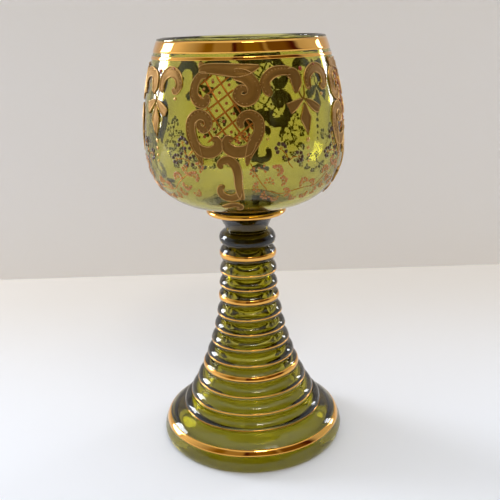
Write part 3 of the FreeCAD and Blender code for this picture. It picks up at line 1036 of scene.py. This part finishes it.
def make_matt(name, colour, one_sided=False):
    """Matt paint. A one-sided surface isn't there for a view from behind it."""
    material, tree = new_material(name)
    shader = add_node(
        tree, "ShaderNodeBsdfPrincipled", {"Base Color": linear(colour), "Roughness": 0.75}
    )
    surface = shader.outputs[0]
    if one_sided:
        side = add_node(tree, "ShaderNodeNewGeometry")
        clear = add_node(tree, "ShaderNodeBsdfTransparent")
        choice = add_node(
            tree,
            "ShaderNodeMixShader",
            links={0: side.outputs["Backfacing"], 1: surface, 2: clear.outputs[0]},
        )
        surface = choice.outputs[0]
    add_node(tree, "ShaderNodeOutputMaterial", links={"Surface": surface})
    return material


def make_shaded_table(name, colour, shade_colour_at_wall, start, end):
    """Matt white paint that turns darker and warmer near the wall: painted shade for the shade there."""
    material, tree = new_material(name)
    where = add_node(tree, "ShaderNodeTexCoord")
    parts = add_node(tree, "ShaderNodeSeparateXYZ", links={"Vector": where.outputs["Object"]})
    share = add_node(
        tree,
        "ShaderNodeMapRange",
        {"From Min": start, "From Max": end},
        {"Value": parts.outputs["Y"]},
        interpolation_type="SMOOTHSTEP",
    )
    paint = add_node(
        tree,
        "ShaderNodeMix",
        {MIX_A: linear(colour), MIX_B: linear(shade_colour_at_wall)},
        {"Factor": share.outputs[0]},
        data_type="RGBA",
    )
    shader = add_node(
        tree,
        "ShaderNodeBsdfPrincipled",
        {"Roughness": 0.75},
        {"Base Color": paint.outputs[MIX_RESULT]},
    )
    add_node(tree, "ShaderNodeOutputMaterial", links={"Surface": shader.outputs[0]})
    return material


def make_plane(name, corners, material):
    mesh = bpy.data.meshes.new(name)
    mesh.from_pydata(corners, [], [(0, 1, 2, 3)])
    mesh.materials.append(material)
    plane = bpy.data.objects.new(name, mesh)
    bpy.context.scene.collection.objects.link(plane)
    return plane


# From 0.04 m in front of the axis to 0.2 m behind it, the table is painted darker and warmer: painted
# shade, because the wall casts no shadow.
table_paint = make_shaded_table("matt_white_table_painted_shade", "#eff3f9", "#dedad3", -0.04, 0.2)
wall_paint = make_matt("matt_white_wall", "#f9faff", one_sided=True)
FAR = 1.2
TABLE_FRONT = -0.5
WALL_REACH = 0.3
WALL_TOP = 0.5
back = WALL_DISTANCE
table_corners = [(-FAR, TABLE_FRONT, 0), (FAR, TABLE_FRONT, 0), (FAR, back, 0), (-FAR, back, 0)]
make_plane("table", table_corners, table_paint)
wall_corners = [(-WALL_REACH, back, 0), (WALL_REACH, back, 0)]
wall_corners += [(WALL_REACH, back, WALL_TOP), (-WALL_REACH, back, WALL_TOP)]
wall = make_plane("wall", wall_corners, wall_paint)
wall.visible_shadow = False
print("the wall stands", round(back / MM), "mm behind the glass and lets the windows' light past")


# %% Windows and a lamp
def direction_of(azimuth, elevation):
    """A direction from the glass. Azimuth is in degrees from the camera's side, right positive."""
    around, up = math.radians(azimuth), math.radians(elevation)
    return np.array([math.cos(up) * math.sin(around), -math.cos(up) * math.cos(around), math.sin(up)])


GLASS_MIDDLE = np.array([0.0, 0.0, 0.09])


def add_window(name, azimuth, elevation, distance, size, brightness, colour):
    """A soft rectangular light that faces the glass. Brightness is its radiance, 1 is white."""
    light = bpy.data.lights.new(name, "AREA")
    light.shape = "RECTANGLE"
    light.size = size[0]
    light.size_y = size[1]
    light.energy = brightness * math.pi * size[0] * size[1]
    light.color = linear(colour)[:3]
    lamp = bpy.data.objects.new(name, light)
    away = direction_of(azimuth, elevation)
    lamp.location = GLASS_MIDDLE + distance * away
    lamp.rotation_euler = (math.atan2(math.hypot(*away[:2]), away[2]), 0, math.atan2(away[0], -away[1]))
    bpy.context.scene.collection.objects.link(lamp)
    return lamp


add_window("left_window", -114, 14, 1.2, (0.40, 0.62), 15.0, "#f0f4ff")
add_window("right_window", 121, 12, 1.2, (0.16, 0.45), 12.0, "#f4f6ff")
add_window("lamp", 10, 50, 1.5, (0.30, 0.14), 26.0, "#fff6ea")
add_window("soft_lamp", 30, 56, 1.5, (0.36, 0.36), 3.2, "#fff4e6")

# %% The room, by direction
PALE, GREY, TAN = "#e0e0e0", "#c4c6c8", "#a39671"
OCHRE, UMBER, OXBLOOD = "#846e1c", "#6f551e", "#471c14"
ROOM = (
    (-180, "#d8d8d8"), (-130, PALE), (-98, "#fcfbfa"), (-72, GREY), (-57, TAN), (-50, OCHRE),
    (-41, OCHRE), (-37, TAN), (-15, TAN), (-12, OXBLOOD), (-8, OXBLOOD), (-6, UMBER), (2, UMBER),
    (4, OCHRE), (23, OCHRE), (26, UMBER), (29, UMBER), (31, TAN), (34, TAN), (37, UMBER), (62, UMBER),
    (73, OXBLOOD), (77, OXBLOOD), (86, GREY), (108, "#d6d8d8"), (150, "#d0cec8"), (180, "#d8d8d8"),
)
CEILING = "#eef2fa"
CEILING_FROM, CEILING_FULL = 0.66, 0.84  # the sine of the height above the horizon
CEILING_LIFT = 1.1
world = bpy.data.worlds.new("room")
bpy.context.scene.world = world
world.use_nodes = True
room = world.node_tree
room.nodes.clear()
direction = add_node(room, "ShaderNodeTexCoord")
parts = add_node(room, "ShaderNodeSeparateXYZ", links={"Vector": direction.outputs["Generated"]})
towards = add_node(room, "ShaderNodeMath", {1: -1.0}, {0: parts.outputs["Y"]}, operation="MULTIPLY")
around = add_node(
    room, "ShaderNodeMath", links={0: parts.outputs["X"], 1: towards.outputs[0]}, operation="ARCTAN2"
)
turn = add_node(
    room,
    "ShaderNodeMapRange",
    {"From Min": -math.pi, "From Max": math.pi},
    {"Value": around.outputs[0]},
)
walls = add_node(room, "ShaderNodeValToRGB", links={"Fac": turn.outputs[0]})
stops = walls.color_ramp.elements
while len(stops) < len(ROOM):
    stops.new(0.5)
for stop, (azimuth, colour) in zip(stops, ROOM):
    stop.position = (azimuth + 180) / 360
    stop.color = linear(colour)
rise = add_node(
    room,
    "ShaderNodeMapRange",
    {"From Min": CEILING_FROM, "From Max": CEILING_FULL},
    {"Value": parts.outputs["Z"]},
    interpolation_type="SMOOTHSTEP",
)
surroundings = add_node(
    room,
    "ShaderNodeMix",
    {MIX_B: linear(CEILING)},
    {"Factor": rise.outputs[0], MIX_A: walls.outputs[0]},
    data_type="RGBA",
)
lift = add_node(
    room,
    "ShaderNodeMapRange",
    {"From Min": CEILING_FROM, "From Max": CEILING_FULL, "To Min": 1.0, "To Max": CEILING_LIFT},
    {"Value": parts.outputs["Z"]},
)
air = add_node(
    room,
    "ShaderNodeBackground",
    links={"Color": surroundings.outputs[MIX_RESULT], "Strength": lift.outputs[0]},
)
add_node(room, "ShaderNodeOutputWorld", links={"Surface": air.outputs[0]})
print("the room has", len(ROOM), "upright stripes and shades")

# %% [markdown]
# ## The camera
# The photograph is taken from close by, 310 mm from the glass's axis and 185 mm above the table,
# looking down by 17 degrees. The camera was held a little crooked, so the glass leans.

# %% Place the camera
CAMERA_DISTANCE = 310.2 * MM
CAMERA_HEIGHT = 185.3 * MM
LOOK_DOWN = 17.43
LEAN = 1.75
YAW = -0.19
FOCAL_PIXELS = 726.2
IMAGE_PIXELS = 500
SENSOR = 36.0
lens = bpy.data.cameras.new("camera")
lens.sensor_width = SENSOR
lens.lens = SENSOR * FOCAL_PIXELS / IMAGE_PIXELS
lens.clip_start = 0.01
camera = bpy.data.objects.new("camera", lens)
aim = Euler((math.radians(90 - LOOK_DOWN), 0, math.radians(YAW))).to_matrix().to_4x4()
camera.matrix_world = (
    Matrix.Translation((0, -CAMERA_DISTANCE, CAMERA_HEIGHT))
    @ aim
    @ Matrix.Rotation(math.radians(-LEAN), 4, "Z")
)
bpy.context.scene.collection.objects.link(camera)
bpy.context.scene.camera = camera
bpy.context.scene.view_settings.view_transform = "Standard"
print("camera lens", round(lens.lens, 1), "mm")
